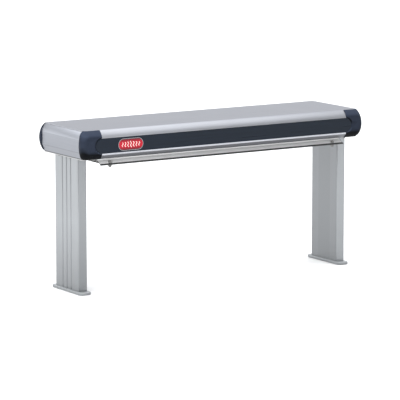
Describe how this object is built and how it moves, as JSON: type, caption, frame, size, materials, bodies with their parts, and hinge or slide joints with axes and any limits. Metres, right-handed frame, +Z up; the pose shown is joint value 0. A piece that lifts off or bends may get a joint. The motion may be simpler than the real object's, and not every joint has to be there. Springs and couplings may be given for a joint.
{
  "type": "heat lamp warmer",
  "caption": "Infrared strip warmer on two fixed legs: a long flat housing with a heated reflector that keeps plated food hot on a counter or pass-through shelf.",
  "frame": {"origin": "on the counter, at the centre of the footprint", "axes": "+Z up, +X along the length to the right, -Y towards the customer side with the nameplate"},
  "size_m": [0.918, 0.2502, 0.4525],
  "materials": {
    "anodised_aluminium": "satin clear anodised",
    "cap_plastic": "fine moulded texture, dark blue grey",
    "strip_plastic": "semi-gloss dark blue grey insert",
    "badge_bright": "bright rim",
    "badge_red": "red domed inlay, blank",
    "bright_aluminium": "polished reflector sheet",
    "aluminised_steel": "aluminised steel sheet",
    "element_sheath": "heat-tinted metal sheath",
    "ceramic": "unglazed ceramic",
    "zinc_steel": "zinc-plated fasteners",
    "guard_wire": "nickel-plated wire",
    "foot_grey": "silver-grey powder coat",
    "rubber": "moulded rubber",
    "black_plastic": "black moulded nylon",
    "brass": "plain brass",
    "lead_sleeve": "braided glass-fibre sleeve"
  },
  "bodies": {
    "frame": {"badge_inlay": "badge_red", "badge_rim": "badge_bright", "base_plate_left": "aluminised_steel", "base_plate_right": "aluminised_steel", "bulkhead_left": "aluminised_steel", "bulkhead_right": "aluminised_steel", "cable_gland": "black_plastic", "cap_screws": "zinc_steel", "corner_cap_front_left": "cap_plastic", "corner_cap_front_right": "cap_plastic", "corner_cap_rear_left": "cap_plastic", "corner_cap_rear_right": "cap_plastic", "cover_studs": "zinc_steel", "element_bushings": "ceramic", "element_leads": "lead_sleeve", "element_supports": "aluminised_steel", "element_terminals": "zinc_steel", "end_panel_left": "anodised_aluminium", "end_panel_right": "anodised_aluminium", "foot_pad_left": "rubber", "foot_pad_right": "rubber", "foot_plate_left": "foot_grey", "foot_plate_right": "foot_grey", "foot_screws": "zinc_steel", "gland_locknut": "black_plastic", "ground_stud": "zinc_steel", "guard_bars": "guard_wire", "guard_cross_wires": "guard_wire", "guard_nuts": "zinc_steel", "guard_rods": "guard_wire", "guard_screws": "zinc_steel", "guard_wedges": "zinc_steel", "heating_element": "element_sheath", "housing_cover": "anodised_aluminium", "leg_bolts": "zinc_steel", "leg_left": "anodised_aluminium", "leg_right": "anodised_aluminium", "panel_screws": "zinc_steel", "reflector": "bright_aluminium", "reflector_end_left": "bright_aluminium", "reflector_end_right": "bright_aluminium", "reflector_hangers": "aluminised_steel", "ring_tongues": "brass", "stud_nuts": "zinc_steel", "supply_leads": "lead_sleeve", "switch_body": "black_plastic", "switch_tabs": "brass", "terminal_block": "ceramic", "terminal_nuts": "brass", "trim_strip_front": "strip_plastic", "trim_strip_rear": "strip_plastic"},
    "rocker": {"switch_rocker": "black_plastic"}
  },
  "joints": [
    {"name": "rocker_hinge", "type": "hinge", "parent": "frame", "child": "rocker", "pos_m": [0.4095, 0.08, 0.3765], "axis": [1, 0, 0], "range_deg": [0, 24]}
  ]
}
